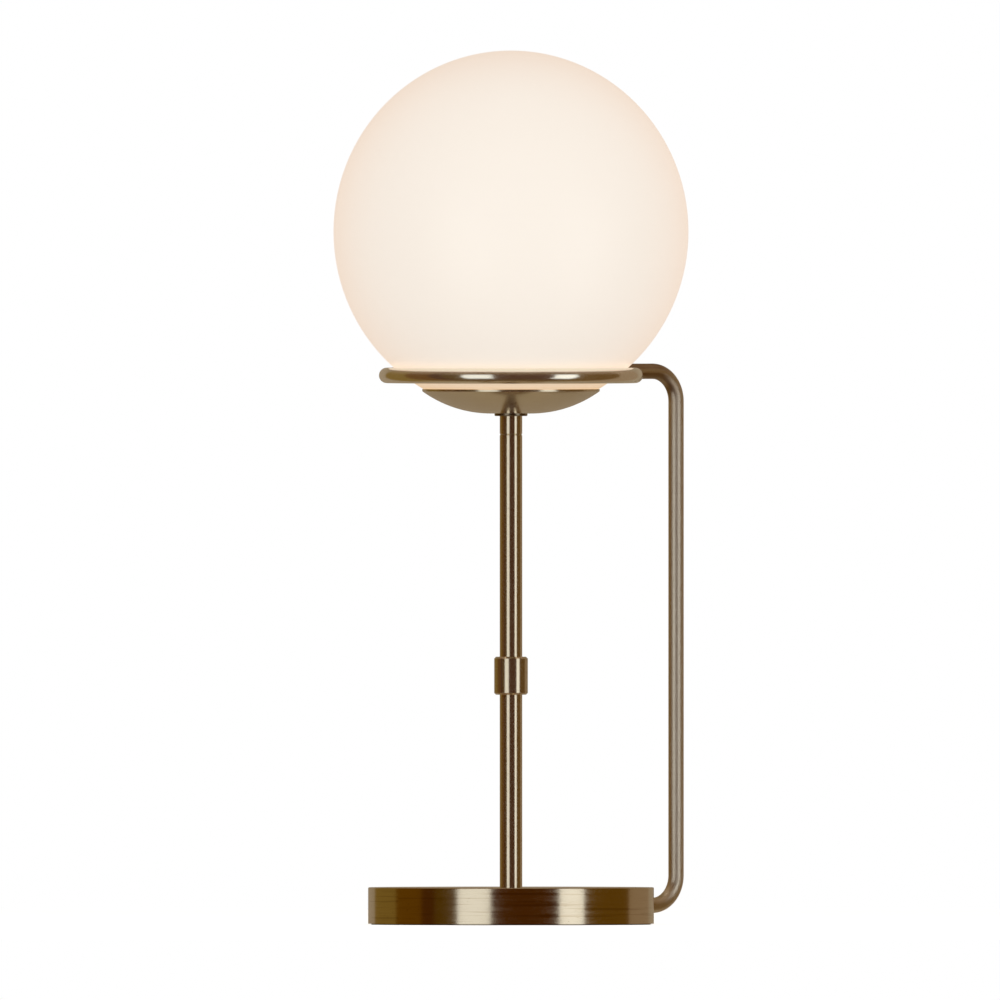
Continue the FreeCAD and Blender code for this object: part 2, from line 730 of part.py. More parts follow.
def housing_curve_middle():
    """The half-way point of the housing's flare, bowed outward a little."""
    radius = (bulb_neck_radius + bulb_radius) / 2 + 1.2
    return radius, (bulb_neck_top + bulb_split) / 2


def make_bulb_housing():
    """The flared body between cap and diffuser."""
    skirt_bottom = bulb_thread_top + bulb_thread_pitch * 0.3
    root = bulb_thread_radius - bulb_thread_depth
    return spun([
        line((root + slip_clearance, skirt_bottom), (bulb_neck_radius, skirt_bottom)),
        line((bulb_neck_radius, skirt_bottom), (bulb_neck_radius, bulb_neck_top)),
        arc((bulb_neck_radius, bulb_neck_top), housing_curve_middle(), (bulb_radius, bulb_split)),
        line((bulb_radius, bulb_split), (0, bulb_split)),
        line((0, bulb_split), (0, bulb_neck_top + slip_clearance)),
        line((0, bulb_neck_top + slip_clearance), (root + slip_clearance, bulb_neck_top + slip_clearance)),
        line((root + slip_clearance, bulb_neck_top + slip_clearance), (root + slip_clearance, skirt_bottom)),
    ])


def make_bulb_diffuser():
    """The round top of the bulb."""
    slant = bulb_radius * math.sqrt(0.5)
    return spun([
        arc((bulb_radius, bulb_split), (slant, bulb_split + slant), (0, bulb_split + bulb_radius)),
        line((0, bulb_split + bulb_radius), (0, bulb_split)),
        line((0, bulb_split), (bulb_radius, bulb_split)),
    ])


def make_inner_lead():
    """The lead from the terminals, under the stem's nut and up through the stem to the lampholder."""
    start = Vector(0, terminal_offset - slip_clearance, lead_height)
    bend_start = Vector(0, lead_bend, lead_height)
    slant = lead_bend * (1 - math.sqrt(0.5))
    bend_middle = Vector(0, slant, lead_height + slant)
    bend_end = Vector(0, 0, lead_height + lead_bend)
    end = Vector(0, 0, holder_cap_top)
    path = [
        Part.makeLine(start, bend_start),
        Part.Arc(bend_start, bend_middle, bend_end).toShape(),
        Part.makeLine(bend_end, end),
    ]
    return swept(path, lead_diameter / 2, start, Vector(0, -1, 0))


def main():
    parts = {
        "base_shell": make_base_shell(),
        "counterweight": make_counterweight(),
        "bottom_plate": make_bottom_plate(),
        "bottom_plate_screws": make_plate_screws(),
        "base_pad": make_base_pad(),
        "stem_base_washer": make_base_washer(),
        "stem_base_nut": make_nut(base_nut_top - nut_thickness),
        "inlet_bush": make_inlet_bush(),
        "inlet_bush_nut": make_inlet_nut(),
        "terminal_block": make_terminal_block(),
        "terminal_screws": make_terminal_screws(),
        "inner_lead": make_inner_lead(),
        "lower_threaded_tube": make_threaded_tube(rod_bottom, coupler_middle - rod_end_gap / 2),
        "upper_threaded_tube": make_threaded_tube(coupler_middle + rod_end_gap / 2,
                                                  holder_bottom + holder_boss_height),
        "lower_stem": make_lower_stem(),
        "stem_coupler": make_coupler(),
        "upper_stem": make_upper_stem(),
        "stem_ferrule": make_ferrule(),
        "dish_saddle": make_saddle(),
        "globe_dish": make_dish(),
        "dish_washer": make_dish_washer(),
        "dish_nut": make_nut(dish_floor + washer_thickness),
        "globe_seal": make_globe_seal(),
        "glass_globe": make_glass_globe(),
        "hoop": make_hoop(),
        "arm_rod": make_arm(),
        "arm_foot_washer": make_foot_washer(),
        "arm_foot_screw": make_foot_screw(),
        "lampholder_cap": make_holder_cap(),
        "lampholder_skirt": make_holder_skirt(),
        "lampholder_insert": make_holder_insert(),
        "lampholder_thread_shell": make_thread_shell(),
        "lampholder_contact": make_centre_contact(),
        "bulb_cap": make_bulb_cap(),
        "bulb_housing": make_bulb_housing(),
        "bulb_diffuser": make_bulb_diffuser(),
    }
    os.makedirs("parts", exist_ok=True)
    for name, shape in parts.items():
        shape.exportStep("parts/" + name + ".step")
        solids = shape.Solids
        volume = sum(solid.Volume for solid in solids)
        print(name, "solids", len(solids), "volume", round(volume, 1), "valid", shape.isValid())


main()
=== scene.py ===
import bpy
import bmesh
import json
import math
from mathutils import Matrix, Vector


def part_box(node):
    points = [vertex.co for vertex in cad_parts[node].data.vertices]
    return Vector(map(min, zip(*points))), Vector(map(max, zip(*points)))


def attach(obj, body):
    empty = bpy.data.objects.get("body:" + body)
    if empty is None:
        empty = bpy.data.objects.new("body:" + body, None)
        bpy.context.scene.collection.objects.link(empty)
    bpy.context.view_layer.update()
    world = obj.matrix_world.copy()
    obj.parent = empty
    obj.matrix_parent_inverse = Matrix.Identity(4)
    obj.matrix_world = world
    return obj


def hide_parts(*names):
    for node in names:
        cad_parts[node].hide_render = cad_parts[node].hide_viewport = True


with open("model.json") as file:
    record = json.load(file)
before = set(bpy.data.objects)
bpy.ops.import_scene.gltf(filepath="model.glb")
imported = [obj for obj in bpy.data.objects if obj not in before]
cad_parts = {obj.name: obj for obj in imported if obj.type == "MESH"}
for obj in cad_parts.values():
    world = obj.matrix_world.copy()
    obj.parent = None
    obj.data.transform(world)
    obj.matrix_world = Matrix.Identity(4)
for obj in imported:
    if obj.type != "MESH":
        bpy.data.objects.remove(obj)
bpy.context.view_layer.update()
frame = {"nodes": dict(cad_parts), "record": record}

mm = 0.001
nodes = frame["nodes"]
scene = bpy.context.scene
scene.view_settings.view_transform = "Standard"


# Helpers for shader trees. A value that they take is a number, a tuple or the socket that gives it.

def newMaterial(name):
    material = bpy.data.materials.new(name)
    material.use_nodes = True
    tree = material.node_tree
    shader = tree.nodes["Principled BSDF"]
    return material, tree, shader


def newGroup(name, inputs, outputs):
    group = bpy.data.node_groups.new(name, "ShaderNodeTree")
    for label, kind, value in inputs:
        socket = group.interface.new_socket(label, in_out="INPUT", socket_type="NodeSocket" + kind)
        socket.default_value = value
    for label, kind in outputs:
        group.interface.new_socket(label, in_out="OUTPUT", socket_type="NodeSocket" + kind)
    return group, group.nodes.new("NodeGroupInput"), group.nodes.new("NodeGroupOutput")


def feed(tree, socket, value):
    if isinstance(value, (int, float, tuple)):
        socket.default_value = value
    else:
        tree.links.new(value, socket)


def useGroup(tree, group, values):
    node = tree.nodes.new("ShaderNodeGroup")
    node.node_tree = group
    for label, value in values.items():
        feed(tree, node.inputs[label], value)
    return node


def addMath(tree, operation, first, second=None, clamp=False):
    node = tree.nodes.new("ShaderNodeMath")
    node.operation = operation
    node.use_clamp = clamp
    feed(tree, node.inputs[0], first)
    if second is not None:
        feed(tree, node.inputs[1], second)
    return node.outputs[0]


def addNoise(tree, vector, scale, detail, roughness=0.55):
    node = tree.nodes.new("ShaderNodeTexNoise")
    feed(tree, node.inputs["Vector"], vector)
    feed(tree, node.inputs["Scale"], scale)
    node.inputs["Detail"].default_value = detail
    node.inputs["Roughness"].default_value = roughness
    return node.outputs["Fac"]


def spreadNoise(tree, noise, amount):
    # widens the noise about its middle value
    centred = addMath(tree, "SUBTRACT", noise, 0.5)
    scaled = addMath(tree, "MULTIPLY", centred, amount)
    return addMath(tree, "ADD", scaled, 0.5, clamp=True)


def mixColours(tree, factor, first, second):
    node = tree.nodes.new("ShaderNodeMix")
    node.data_type = "RGBA"
    for label, colour in (("A", first), ("B", second)):
        feed(tree, node.inputs[label], (*colour, 1) if isinstance(colour, tuple) else colour)
    tree.links.new(factor, node.inputs["Factor"])
    return node.outputs["Result"]


def mapRange(tree, value, source, target, blend="LINEAR"):
    node = tree.nodes.new("ShaderNodeMapRange")
    node.interpolation_type = blend
    for label, limit in zip(("From Min", "From Max", "To Min", "To Max"), (*source, *target)):
        node.inputs[label].default_value = limit
    tree.links.new(value, node.inputs["Value"])
    return node.outputs["Result"]


def fadeBetween(tree, value, start, end, blend="SMOOTHSTEP"):
    return mapRange(tree, value, (start, end), (0.0, 1.0), blend)


def splitVector(tree, vector):
    split = tree.nodes.new("ShaderNodeSeparateXYZ")
    tree.links.new(vector, split.inputs[0])
    return split.outputs


def addRelief(tree, shader, height, strength, depth):
    relief = tree.nodes.new("ShaderNodeBump")
    relief.inputs["Strength"].default_value = strength
    relief.inputs["Distance"].default_value = depth
    tree.links.new(height, relief.inputs["Height"])
    tree.links.new(relief.outputs[0], shader.inputs["Normal"])


# Brass: turned and spun pieces have rings, and the two bent bars have a grain along them.

brass = {
    "pale": (0.80, 0.73, 0.59),
    "warm": (0.76, 0.67, 0.49),
    "polished": (0.96, 0.92, 0.80),
    "dull": (0.30, 0.19, 0.08),
    # painted shade, for the washer under the dish
    "paintedShade": (0.12, 0.09, 0.06),
}
grain = {
    "contrast": 1.6,
    "coarseShare": 0.12,            # fineness of the broad streaks, as a share of the fine lines'
    "streakTone": 0.16,             # how dull the streaks get
    "scratchLevels": (0.44, 0.30),  # the deepest lines are scratches, from none to full
    "toneSwing": 0.2,               # how far the lines vary a dark or polished tone
    "roughnessSwing": (-0.05, 0.06),
    "relief": 0.02 * mm,
    "ringDrift": 0.0012,            # metres that the rings' noise moves per radian
    "barStretch": 0.005,            # how fast the bars' noise changes along the bar
    "barRotation": 0.25,            # of a whole turn, since the bars' tangent runs along the grain
}
age = {
    "cloudSize": 22.0,
    "plainCloudSize": 30.0,
    "speckScale": 40.0,             # fineness of the specks, in times the clouds'
    "speckLevel": 0.74,             # noise above this is a speck
    "speckTone": 0.5,
}


def brushGroup():
    # lines and broad streaks left by turning or drawing: noise in a space stretched along them
    group, start, end = newGroup("brushLines", [
        ("Across", "Vector", (0, 0, 0)), ("Fineness", "Float", 900.0), ("Contrast", "Float", 1.0)],
        [("Lines", "Float"), ("Streaks", "Float")])
    across, fineness = start.outputs["Across"], start.outputs["Fineness"]
    fine = addNoise(group, across, fineness, detail=3.0, roughness=0.7)
    group.links.new(spreadNoise(group, fine, start.outputs["Contrast"]), end.inputs["Lines"])
    coarseScale = addMath(group, "MULTIPLY", fineness, grain["coarseShare"])
    coarse = addNoise(group, across, coarseScale, detail=2.0, roughness=0.5)
    group.links.new(coarse, end.inputs["Streaks"])
    return group


def tarnishGroup():
    # soft clouds of another tone, with small specks
    group, start, end = newGroup("tarnish", [
        ("Size", "Float", 18.0), ("Amount", "Float", 0.5)], [("Clouds", "Float"), ("Specks", "Float")])
    place = group.nodes.new("ShaderNodeTexCoord").outputs["Object"]
    cloud = addNoise(group, place, start.outputs["Size"], detail=5.0, roughness=0.5)
    group.links.new(spreadNoise(group, cloud, start.outputs["Amount"]), end.inputs["Clouds"])
    speckScale = addMath(group, "MULTIPLY", start.outputs["Size"], age["speckScale"])
    speck = addNoise(group, place, speckScale, detail=1.0, roughness=0.5)
    group.links.new(addMath(group, "GREATER_THAN", speck, age["speckLevel"]), end.inputs["Specks"])
    return group


brushLines = brushGroup()
tarnish = tarnishGroup()


def acrossTurned(tree):
    # radius and height, with a little of the turn, so noise in it makes rings that change slowly
    x, y, z = splitVector(tree, tree.nodes.new("ShaderNodeTexCoord").outputs["Object"])
    squares = addMath(tree, "ADD", addMath(tree, "MULTIPLY", x, x), addMath(tree, "MULTIPLY", y, y))
    turn = addMath(tree, "ARCTAN2", y, x)
    join = tree.nodes.new("ShaderNodeCombineXYZ")
    tree.links.new(addMath(tree, "SQRT", squares), join.inputs["X"])
    tree.links.new(addMath(tree, "MULTIPLY", turn, grain["ringDrift"]), join.inputs["Y"])
    tree.links.new(z, join.inputs["Z"])
    return join.outputs[0]


def acrossBar(tree):
    # the bent bars' UV runs along the bar in U and round it in V, both in metres
    place = tree.nodes.new("ShaderNodeTexCoord")
    stretch = tree.nodes.new("ShaderNodeMapping")
    stretch.inputs["Scale"].default_value = (grain["barStretch"], 1.0, 1.0)
    tree.links.new(place.outputs["UV"], stretch.inputs["Vector"])
    return stretch.outputs[0]


def brassMaterial(name, fineness, roughness, anisotropy, bump, alongBar=False, polish=0.0, metal=1.0,
                  scratches=0.0, paintedShade=0.0):
    material, tree, shader = newMaterial(name)
    across = acrossBar(tree) if alongBar else acrossTurned(tree)
    brushed = useGroup(tree, brushLines, {
        "Across": across, "Fineness": fineness, "Contrast": grain["contrast"]}).outputs
    aged = useGroup(tree, tarnish, {"Size": age["cloudSize"], "Amount": 1.0}).outputs
    colour = mixColours(tree, aged["Clouds"], brass["pale"], brass["warm"])
    streaky = addMath(tree, "MULTIPLY", brushed["Streaks"], grain["streakTone"])
    colour = mixColours(tree, streaky, colour, brass["dull"])
    specked = addMath(tree, "MULTIPLY", aged["Specks"], age["speckTone"])
    colour = mixColours(tree, specked, colour, brass["dull"])
    if scratches:
        deep = fadeBetween(tree, brushed["Lines"], *grain["scratchLevels"])
        colour = mixColours(tree, addMath(tree, "MULTIPLY", deep, scratches), colour, brass["dull"])
    # the painted shade tone and the polished tone, each mixed in by its share
    for share, tone in ((paintedShade, brass["paintedShade"]), (polish, brass["polished"])):
        if share:
            swing = addMath(tree, "MULTIPLY", brushed["Lines"], grain["toneSwing"])
            even = addMath(tree, "ADD", swing, share - grain["toneSwing"] / 2)
            colour = mixColours(tree, even, colour, tone)
    tree.links.new(colour, shader.inputs["Base Color"])
    shader.inputs["Metallic"].default_value = metal
    limits = [roughness + swing for swing in grain["roughnessSwing"]]
    tree.links.new(mapRange(tree, brushed["Lines"], (0.0, 1.0), limits), shader.inputs["Roughness"])
    shader.inputs["Anisotropic"].default_value = anisotropy
    shader.inputs["Anisotropic Rotation"].default_value = grain["barRotation"] if alongBar else 0.0
    tangent = tree.nodes.new("ShaderNodeTangent")
    tangent.direction_type = "UV_MAP" if alongBar else "RADIAL"
    if not alongBar:
        tangent.axis = "Z"
    tree.links.new(tangent.outputs[0], shader.inputs["Tangent"])
    addRelief(tree, shader, brushed["Lines"], bump, grain["relief"])
    return material


turnedBrass = brassMaterial(
    "turnedBrass", fineness=620.0, roughness=0.13, anisotropy=0.35, bump=0.3, scratches=0.28)
spunBrass = brassMaterial(
    "spunBrass", fineness=1500.0, roughness=0.17, anisotropy=0.3, bump=0.15, metal=0.9)
tubeBrass = brassMaterial(
    "tubeBrass", fineness=1800.0, roughness=0.145, anisotropy=0.3, bump=0.1, metal=0.95)
# the washer under the dish is painted darker: painted shade, where it sits in the dish's shadow
shadedSaddleBrass = brassMaterial(
    "shadedSaddleBrass", fineness=1500.0, roughness=0.25, anisotropy=0.3, bump=0.15, paintedShade=0.75)
hoopBrass = brassMaterial(
    "hoopBrass", fineness=1500.0, roughness=0.19, anisotropy=0.8, bump=0.10, alongBar=True, polish=0.9,
    metal=0.95)
rodBrass = brassMaterial(
    "rodBrass", fineness=1500.0, roughness=0.37, anisotropy=0.7, bump=0.08, alongBar=True, polish=0.6)


# Glass, and the finishes of everything else.

opal = {
    "glow": (0.60, 0.535, 0.475),
    # painted shade at the globe's outline
    "edge": (0.63, 0.52, 0.44),
    "low": (0.58, 0.38, 0.20),
    "glass": (0.75, 0.72, 0.69),
    "strength": 0.95,
    "lowBand": 24 * mm,             # from the glass's mouth up, where the glow is darker
    "edgeBand": (0.25, 0.85),
    "cloudTone": 0.06,
    "roughness": 0.42,
    "ior": 1.5,
}


def opalMaterial():
    material, tree, shader = newMaterial("opalGlass")
    place = tree.nodes.new("ShaderNodeTexCoord").outputs["Object"]
    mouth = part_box("glass_globe")[0].z
    z = splitVector(tree, place)["Z"]
    height = fadeBetween(tree, z, mouth, mouth + opal["lowBand"], "SMOOTHERSTEP")
    cloud = addMath(tree, "MULTIPLY", addNoise(tree, place, scale=9.0, detail=3.0), opal["cloudTone"])
    # painted shade: the glow is mixed warmer and a little darker towards the globe's outline, by how squarely
    # the surface faces the view
    facing = tree.nodes.new("ShaderNodeLayerWeight").outputs["Facing"]
    edge = fadeBetween(tree, facing, *opal["edgeBand"])
    glow = mixColours(tree, edge, opal["glow"], opal["edge"])
    glow = mixColours(tree, height, opal["low"], glow)
    glow = mixColours(tree, cloud, glow, opal["low"])
    tree.links.new(glow, shader.inputs["Emission Color"])
    shader.inputs["Emission Strength"].default_value = opal["strength"]
    shader.inputs["Base Color"].default_value = (*opal["glass"], 1)
    shader.inputs["Roughness"].default_value = opal["roughness"]
    shader.inputs["IOR"].default_value = opal["ior"]
    return material


opalGlass = opalMaterial()
plainSwing = 0.08           # how far the grain varies the roughness
plainRelief = 0.05 * mm


def plainMaterial(name, colour, other, roughness, metallic, fineness, bump):
    material, tree, shader = newMaterial(name)
    place = tree.nodes.new("ShaderNodeTexCoord").outputs["Object"]
    fine = addNoise(tree, place, fineness, detail=4.0)
    aged = useGroup(tree, tarnish, {"Size": age["plainCloudSize"], "Amount": 1.0}).outputs
    tree.links.new(mixColours(tree, aged["Clouds"], colour, other), shader.inputs["Base Color"])
    limits = (roughness - plainSwing, roughness + plainSwing)
    tree.links.new(mapRange(tree, fine, (0.0, 1.0), limits), shader.inputs["Roughness"])
    shader.inputs["Metallic"].default_value = metallic
    addRelief(tree, shader, fine, bump, plainRelief)
    return material


# slot: material's name, its two tones, roughness, metallic, fineness and height of the grain
plainFinishes = {
    "cast_iron": ("castIron", (0.05, 0.05, 0.05), (0.09, 0.08, 0.07), 0.7, 0.6, 900.0, 0.8),
    "zinc_steel": ("zincSteel", (0.62, 0.63, 0.64), (0.52, 0.52, 0.50), 0.32, 1.0, 1500.0, 0.1),
    "dark_felt": ("padFoam", (0.030, 0.030, 0.032), (0.045, 0.045, 0.045), 0.9, 0.0, 2500.0, 0.9),
    "dark_nylon": ("darkNylon", (0.025, 0.022, 0.020), (0.035, 0.030, 0.026), 0.45, 0.0, 1800.0, 0.2),
    "pale_nylon": ("paleNylon", (0.78, 0.77, 0.73), (0.72, 0.71, 0.66), 0.5, 0.0, 1800.0, 0.2),
    "lead_sheath": ("leadSheath", (0.74, 0.73, 0.69), (0.68, 0.67, 0.63), 0.4, 0.0, 900.0, 0.1),
    "clear_silicone": ("milkySilicone", (0.80, 0.78, 0.73), (0.74, 0.72, 0.66), 0.5, 0.0, 900.0, 0.2),
    "dark_phenolic": ("darkPhenolic", (0.018, 0.017, 0.016), (0.030, 0.027, 0.024), 0.32, 0.0, 700.0, 0.1),
    "white_ceramic": ("whiteCeramic", (0.84, 0.83, 0.79), (0.78, 0.77, 0.72), 0.6, 0.0, 1600.0, 0.3),
    "plain_brass": ("plainBrass", (0.82, 0.66, 0.36), (0.72, 0.56, 0.28), 0.25, 1.0, 1200.0, 0.1),
    "nickel_cap": ("nickelCap", (0.70, 0.68, 0.64), (0.60, 0.58, 0.54), 0.28, 1.0, 1200.0, 0.1),
    "white_housing": ("whiteHousing", (0.86, 0.86, 0.84), (0.82, 0.82, 0.79), 0.45, 0.0, 1500.0, 0.1),
    "white_diffuser": ("whiteDiffuser", (0.90, 0.89, 0.86), (0.87, 0.86, 0.82), 0.35, 0.0, 900.0, 0.05),
}
finishes = {slot: plainMaterial(*values) for slot, values in plainFinishes.items()}
finishes["opal_glass"] = opalGlass
bulbGlow = {"colour": (1.0, 0.86, 0.70), "strength": 0.22}


def lightBulb():
    # the lamp is lit in the photo, so the bulb glows too where the globe is lifted off
    shader = finishes["white_diffuser"].node_tree.nodes["Principled BSDF"]
    shader.inputs["Emission Color"].default_value = (*bulbGlow["colour"], 1)
    shader.inputs["Emission Strength"].default_value = bulbGlow["strength"]


lightBulb()
brassOf = {
    "base_shell": turnedBrass, "globe_dish": spunBrass, "stem_coupler": tubeBrass, "lower_stem": tubeBrass,
    "upper_stem": tubeBrass, "stem_ferrule": tubeBrass, "dish_saddle": shadedSaddleBrass, "hoop": spunBrass,
    "arm_rod": spunBrass,
}


def dressNodes():
    slotOf = {part["node"]: part["material_slot"] for part in frame["record"]["subparts"]}
    for name, node in nodes.items():
        material = brassOf.get(name) or finishes[slotOf[name]]
        node.data.materials.clear()
        node.data.materials.append(material)
    print("dressed", len(nodes), "nodes")


dressNodes()


# The hoop and the side rod, drawn again with the grain running along the bar.

bar = {
    "bendRadius": 17.0 * mm,
    "sides": 40,
    "bendSteps": 28,
    "levelSteps": 6,
    "uprightSteps": 24,
    "hoopSteps": 288,
    "insideBase": 0.3 * mm,         # the rod's foot starts this far in from the base's outside
}
bead = {
    "radius": 0.95 * mm,
    "steps": 72,
    "sides": 14,
    "ripples": 17,
    "rippleShare": 0.10,
    "flattest": 0.25,               # shares of the bar's radius, which keep the seam on the hoop's outside
    "highest": 0.97,
}
# painted shade, browner on the top and the underside of the upper arm near the hoop
armEndShade = {
    "colour": (0.36, 0.24, 0.14),
    # metres back from the rod's end and how far the surface faces down, each from none to the full painted
    # shade
    "underside": {"back": (0.062, 0.045), "downward": (0.0, 0.35)},
    "top": {"back": (0.048, 0.033), "downward": (-0.12, -0.5)},
    "cloudScale": 120.0,
    "cloudTone": (0.55, 1.0),
}


def addPiece(name, mesh, material):
    data = bpy.data.meshes.new(name)
    mesh.to_mesh(data)
    mesh.free()
    piece = bpy.data.objects.new(name, data)
    scene.collection.objects.link(piece)
    data.materials.append(material)
    return piece


def sweepBar(name, centres, sides, radius, closed, material):
    # centres: (point, direction, sideways) along the bar; radius is a number or a function of the step
    mesh = bmesh.new()
    along = mesh.loops.layers.uv.new("along")
    rings, lengths = [], [0.0]
    for point, direction, sideways in centres:
        upward = direction.cross(sideways)
        reach = radius(len(rings)) if callable(radius) else radius
        ring = []
        for side in range(sides):
            turn = 2 * math.pi * side / sides
            ring.append(mesh.verts.new(point + (sideways * math.cos(turn) + upward * math.sin(turn)) * reach))
        rings.append(ring)
    for (a, _, _), (b, _, _) in zip(centres, centres[1:]):
        lengths.append(lengths[-1] + (b - a).length)
    thickness = radius(0) if callable(radius) else radius
    pairs = list(zip(range(len(rings)), range(1, len(rings))))
    if closed:
        lengths.append(lengths[-1] + (centres[0][0] - centres[-1][0]).length)
        pairs.append((len(rings) - 1, 0))
    for index, (first, second) in enumerate(pairs):
        for side in range(sides):
            after = (side + 1) % sides
            face = mesh.faces.new((rings[first][side], rings[first][after], rings[second][after],
                                   rings[second][side]))
            face.smooth = True
            around = [side, side + 1, side + 1, side]
            places = [lengths[index], lengths[index], lengths[index + 1], lengths[index + 1]]
            for loop, place, turn in zip(face.loops, places, around):
                loop[along].uv = (place, turn * 2 * math.pi * thickness / sides)
    if not closed:
        mesh.faces.new(list(reversed(rings[0])))
        mesh.faces.new(rings[-1])
    bmesh.ops.recalc_face_normals(mesh, faces=mesh.faces)
    return addPiece(name, mesh, material)


hoopLow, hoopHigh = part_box("hoop")
rodLow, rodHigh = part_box("arm_rod")
barRadius = (hoopHigh.z - hoopLow.z) / 2
hoopMiddle = (hoopHigh.z + hoopLow.z) / 2
hoopRadius = hoopHigh.x - barRadius


def makeHoop():
    centres = []
    for step in range(bar["hoopSteps"]):
        turn = 2 * math.pi * step / bar["hoopSteps"]
        outward = Vector((math.cos(turn), math.sin(turn), 0))
        direction = Vector((-math.sin(turn), math.cos(turn), 0))
        centres.append((outward * hoopRadius + Vector((0, 0, hoopMiddle)), direction, outward))
    hoop = sweepBar("hoop_bar", centres, bar["sides"], barRadius, True, hoopBrass)
    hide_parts("hoop")
    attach(hoop, "stand")


def rodCentres():
    # level out of the base, up, and level again to the middle of the hoop's bar, all in the plane y = 0
    reach = rodHigh.x - barRadius
    foot, head = rodLow.z + barRadius, rodHigh.z - barRadius
    bend = bar["bendRadius"]
    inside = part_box("base_shell")[1].x - bar["insideBase"]
    sideways = Vector((0, 1, 0))
    steps = bar["levelSteps"]
    centres = [(Vector((inside + (reach - bend - inside) * k / steps, 0, foot)), Vector((1, 0, 0)), sideways)
               for k in range(steps)]
    for step in range(bar["bendSteps"] + 1):
        turn = math.pi / 2 * step / bar["bendSteps"]
        point = Vector((reach - bend + bend * math.sin(turn), 0, foot + bend - bend * math.cos(turn)))
        centres.append((point, Vector((math.cos(turn), 0, math.sin(turn))), sideways))
    straight = head - foot - 2 * bend
    for step in range(1, bar["uprightSteps"]):
        z = foot + bend + straight * step / bar["uprightSteps"]
        centres.append((Vector((reach, 0, z)), Vector((0, 0, 1)), sideways))
    for step in range(bar["bendSteps"] + 1):
        turn = math.pi / 2 * step / bar["bendSteps"]
        point = Vector((reach - bend + bend * math.cos(turn), 0, head - bend + bend * math.sin(turn)))
        centres.append((point, Vector((-math.sin(turn), 0, math.cos(turn))), sideways))
    for step in range(1, steps + 1):
        x = reach - bend + (hoopRadius - reach + bend) * step / steps
        centres.append((Vector((x, 0, head)), Vector((-1, 0, 0)), sideways))
    return centres


def meetHoop(turn):
    # where the rod's surface, at that turn round it, runs into the hoop's outside
    y = barRadius * math.cos(turn)
    z = rodHigh.z - barRadius + barRadius * math.sin(turn)
    rise = z - hoopMiddle
    outward = hoopRadius + math.sqrt(max(barRadius ** 2 - rise ** 2, (bead["flattest"] * barRadius) ** 2))
    return Vector((math.sqrt(outward ** 2 - y ** 2), y, min(z, hoopMiddle + bead["highest"] * barRadius)))


def paintArmEndShade(material, length):
    # painted shade: the top and the underside of the upper arm near the hoop, and the bend's inside, are made
    # browner
    tree = material.node_tree
    shader = tree.nodes["Principled BSDF"]
    unshaded = shader.inputs["Base Color"].links[0].from_socket
    place = tree.nodes.new("ShaderNodeTexCoord")
    split = splitVector(tree, place.outputs["UV"])
    downward = addMath(tree, "SINE", addMath(tree, "DIVIDE", split["Y"], barRadius))
    shadeShare = None
    for part in (armEndShade["underside"], armEndShade["top"]):
        near = fadeBetween(tree, split["X"], length - part["back"][0], length - part["back"][1])
        shadedSide = addMath(tree, "MULTIPLY", fadeBetween(tree, downward, *part["downward"]), near)
        shadeShare = shadedSide if shadeShare is None else addMath(tree, "MAXIMUM", shadeShare, shadedSide)
    cloud = addNoise(tree, place.outputs["Object"], armEndShade["cloudScale"], detail=2.0)
    shadeShare = addMath(tree, "MULTIPLY", shadeShare, mapRange(tree, cloud, (0.0, 1.0), armEndShade["cloudTone"]))
    tree.links.new(mixColours(tree, shadeShare, unshaded, armEndShade["colour"]), shader.inputs["Base Color"])


def makeRod():
    centres = rodCentres()
    paintArmEndShade(rodBrass, sum((b[0] - a[0]).length for a, b in zip(centres, centres[1:])))
    rod = sweepBar("side_rod", centres, bar["sides"], barRadius, False, rodBrass)
    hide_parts("arm_rod")
    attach(rod, "stand")


def beadRadius(step):
    ripple = math.sin(step * 2 * math.pi * bead["ripples"] / bead["steps"])
    return bead["radius"] * (1.0 + bead["rippleShare"] * ripple)


def makeWeld():
    steps = bead["steps"]
    seam = [meetHoop(2 * math.pi * step / steps) for step in range(steps)]
    centres = []
    for step in range(steps):
        direction = (seam[(step + 1) % steps] - seam[step - 1]).normalized()
        outward = Vector((0, seam[step].y, seam[step].z - (rodHigh.z - barRadius))).normalized()
        outward = (outward - direction * outward.dot(direction)).normalized()
        centres.append((seam[step], direction, outward))
    weld = sweepBar("weld_bead", centres, bead["sides"], beadRadius, True, rodBrass)
    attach(weld, "stand")


makeHoop()
makeRod()
makeWeld()
print("hoop and side rod made")


# The studio. Directions round the lamp are turned from the camera's own: 0 is at the camera and + is to
# its right.

